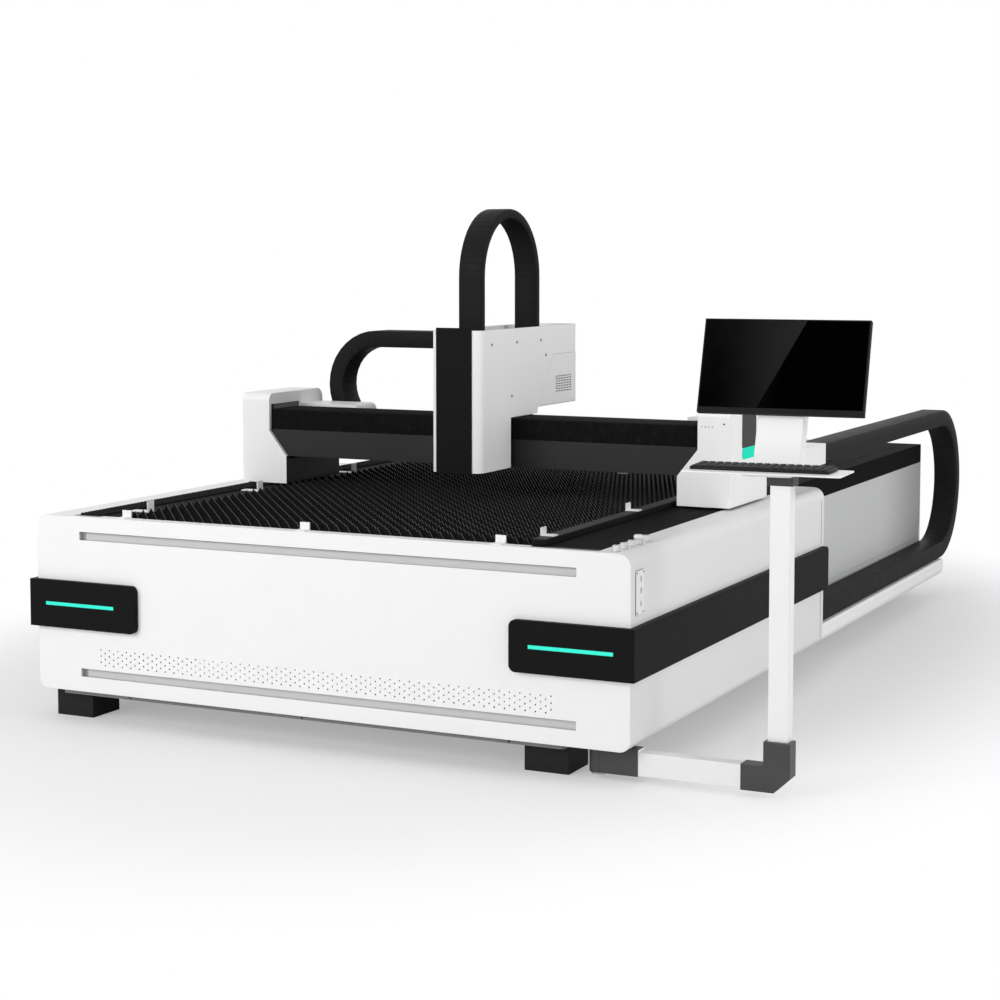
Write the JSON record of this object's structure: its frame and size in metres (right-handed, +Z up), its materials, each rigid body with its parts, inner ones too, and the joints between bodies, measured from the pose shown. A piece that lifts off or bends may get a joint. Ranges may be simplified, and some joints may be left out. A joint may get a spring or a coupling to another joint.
{
  "type": "fiber laser cutting machine",
  "caption": "Flatbed fiber laser cutting machine: a gantry on covered rails carries a cutting head over a toothed slat table, with energy chains and an operator console on a swing arm.",
  "frame": {"origin": "middle of the four floor anchor holes, on the floor", "axes": "+Z up, +Y from the front panel to the rear, +X to the operator console"},
  "size_m": [2.8618, 4.2128, 1.7599],
  "materials": {
    "base_frame": "grey paint",
    "feet": "satin black powder coat",
    "rail_beams": "grey paint",
    "slat_frame": "satin black powder coat",
    "slats": "satin black powder coat",
    "edge_stops": "satin white powder coat",
    "front_panel": "satin white powder coat",
    "front_sill": "grey paint",
    "right_front_cover": "satin white powder coat",
    "left_front_cover": "satin white powder coat",
    "guards": "satin black powder coat",
    "light_strips": "lit diffuser",
    "port_plate": "satin white powder coat",
    "rear_side_panels": "grey paint",
    "chain_ledges": "satin white powder coat",
    "rear_panel": "satin white powder coat",
    "rear_deck": "satin black powder coat",
    "right_inner_rail_cover": "satin black powder coat",
    "right_outer_rail_cover": "satin black powder coat",
    "left_rail_cover": "satin black powder coat",
    "y_rails": "ground steel",
    "left_bellows": "coated fabric",
    "y_chain": "matt black plastic",
    "pivot_pin": "ground steel",
    "button_bezels": "ground steel",
    "button_1": "moulded plastic",
    "button_2": "moulded plastic",
    "button_3": "moulded plastic",
    "button_4": "moulded plastic",
    "emergency_stop": "moulded plastic",
    "gantry_side_plates": "grey paint",
    "y_bearing_blocks": "ground steel",
    "left_shoe": "satin black powder coat",
    "gantry_beam": "grey paint",
    "beam_cover": "satin black powder coat",
    "x_rails": "ground steel",
    "x_bellows": "coated fabric",
    "left_end_cover": "satin white powder coat",
    "right_end_cover": "satin white powder coat",
    "motor_boxes": "satin white powder coat",
    "x_chain_tray": "satin black powder coat",
    "x_chain": "matt black plastic",
    "chain_bracket": "satin white powder coat",
    "y_motors": "satin black powder coat",
    "left_pinion": "ground steel",
    "right_pinion": "ground steel",
    "saddle": "grey paint",
    "head_housing": "satin white powder coat",
    "head_front_cover": "satin black powder coat",
    "access_panel": "satin white powder coat",
    "head_drive": "grey paint",
    "z_screw": "ground steel",
    "z_chain": "matt black plastic",
    "z_slide": "ground steel",
    "cutting_head": "anodised with a copper nozzle",
    "swing_arm": "satin black powder coat",
    "console_column": "satin white powder coat",
    "console_head": "satin white powder coat",
    "keyboard": "matt black plastic",
    "monitor": "matt black plastic"
  },
  "bodies": {
    "bed": {"base_frame": "base_frame", "feet": "feet", "rail_beams": "rail_beams", "slat_frame": "slat_frame", "slats": "slats", "edge_stops": "edge_stops", "front_panel": "front_panel", "front_sill": "front_sill", "right_front_cover": "right_front_cover", "left_front_cover": "left_front_cover", "guards": "guards", "light_strips": "light_strips", "port_plate": "port_plate", "rear_side_panels": "rear_side_panels", "chain_ledges": "chain_ledges", "rear_panel": "rear_panel", "rear_deck": "rear_deck", "right_inner_rail_cover": "right_inner_rail_cover", "right_outer_rail_cover": "right_outer_rail_cover", "left_rail_cover": "left_rail_cover", "y_rails": "y_rails", "left_bellows": "left_bellows", "y_chain": "y_chain", "pivot_pin": "pivot_pin", "button_bezels": "button_bezels"},
    "gantry": {"gantry_side_plates": "gantry_side_plates", "y_bearing_blocks": "y_bearing_blocks", "left_shoe": "left_shoe", "gantry_beam": "gantry_beam", "beam_cover": "beam_cover", "x_rails": "x_rails", "x_bellows": "x_bellows", "left_end_cover": "left_end_cover", "right_end_cover": "right_end_cover", "motor_boxes": "motor_boxes", "x_chain_tray": "x_chain_tray", "x_chain": "x_chain", "chain_bracket": "chain_bracket", "y_motors": "y_motors"},
    "left_pinion": {"left_pinion": "left_pinion"},
    "right_pinion": {"right_pinion": "right_pinion"},
    "carriage": {"saddle": "saddle", "head_housing": "head_housing", "head_front_cover": "head_front_cover", "access_panel": "access_panel", "head_drive": "head_drive", "z_chain": "z_chain"},
    "z_screw": {"z_screw": "z_screw"},
    "cutting_head": {"z_slide": "z_slide", "cutting_head": "cutting_head"},
    "console_arm": {"swing_arm": "swing_arm", "console_column": "console_column"},
    "console_head": {"console_head": "console_head", "keyboard": "keyboard"},
    "monitor": {"monitor": "monitor"},
    "button_1": {"button_1": "button_1"},
    "button_2": {"button_2": "button_2"},
    "button_3": {"button_3": "button_3"},
    "button_4": {"button_4": "button_4"},
    "emergency_stop": {"emergency_stop": "emergency_stop"}
  },
  "joints": [
    {"name": "gantry_travel", "type": "slide", "parent": "bed", "child": "gantry", "axis": [0, 1, 0], "range_m": [-0.84, 2.16], "deforming": ["y_chain", "left_bellows"]},
    {"name": "left_pinion_spin", "type": "hinge", "parent": "gantry", "child": "left_pinion", "pos_m": [-0.8285, -0.625, 0.616], "axis": [1, 0, 0], "range_deg": [-3440, 1340]},
    {"name": "right_pinion_spin", "type": "hinge", "parent": "gantry", "child": "right_pinion", "pos_m": [1.0615, -0.625, 0.616], "axis": [1, 0, 0], "range_deg": [-3440, 1340]},
    {"name": "head_travel", "type": "slide", "parent": "gantry", "child": "carriage", "axis": [1, 0, 0], "range_m": [-0.81, 0.65], "deforming": ["x_chain", "x_bellows"]},
    {"name": "height", "type": "slide", "parent": "carriage", "child": "cutting_head", "axis": [0, 0, -1], "range_m": [0, 0.092], "deforming": ["z_chain"]},
    {"name": "screw_spin", "type": "hinge", "parent": "carriage", "child": "z_screw", "pos_m": [0.1795, -0.871, 1], "axis": [0, 0, 1], "range_deg": [0, 1665]},
    {"name": "arm_swing", "type": "hinge", "parent": "bed", "child": "console_arm", "pos_m": [1.0645, -1.852, 0.06], "axis": [0, 0, 1], "range_deg": [-90, 50]},
    {"name": "head_turn", "type": "hinge", "parent": "console_arm", "child": "console_head", "pos_m": [1.639, -1.8465, 0.955], "axis": [0, 0, 1], "range_deg": [-80, 80]},
    {"name": "screen_tilt", "type": "hinge", "parent": "console_head", "child": "monitor", "pos_m": [1.58344, -1.65878, 1.18894], "axis": [0.9981, 0.061, 0], "range_deg": [-15, 0]},
    {"name": "button_1_press", "type": "slide", "parent": "bed", "child": "button_1", "axis": [0, 0, -1], "range_m": [0, 0.004], "stiffness_N_per_m": 600},
    {"name": "button_2_press", "type": "slide", "parent": "bed", "child": "button_2", "axis": [0, 0, -1], "range_m": [0, 0.004], "stiffness_N_per_m": 600},
    {"name": "button_3_press", "type": "slide", "parent": "bed", "child": "button_3", "axis": [0, 0, -1], "range_m": [0, 0.004], "stiffness_N_per_m": 600},
    {"name": "button_4_press", "type": "slide", "parent": "bed", "child": "button_4", "axis": [0, 0, -1], "range_m": [0, 0.004], "stiffness_N_per_m": 600},
    {"name": "emergency_stop_press", "type": "slide", "parent": "bed", "child": "emergency_stop", "axis": [0, 0, -1], "range_m": [0, 0.004], "stiffness_N_per_m": 600}
  ],
  "couplings": [
    {"joint": "left_pinion_spin", "follows": "gantry_travel", "rad_per_m": -27.778},
    {"joint": "right_pinion_spin", "follows": "gantry_travel", "rad_per_m": -27.778},
    {"joint": "screw_spin", "follows": "height", "rad_per_m": 314.16}
  ]
}
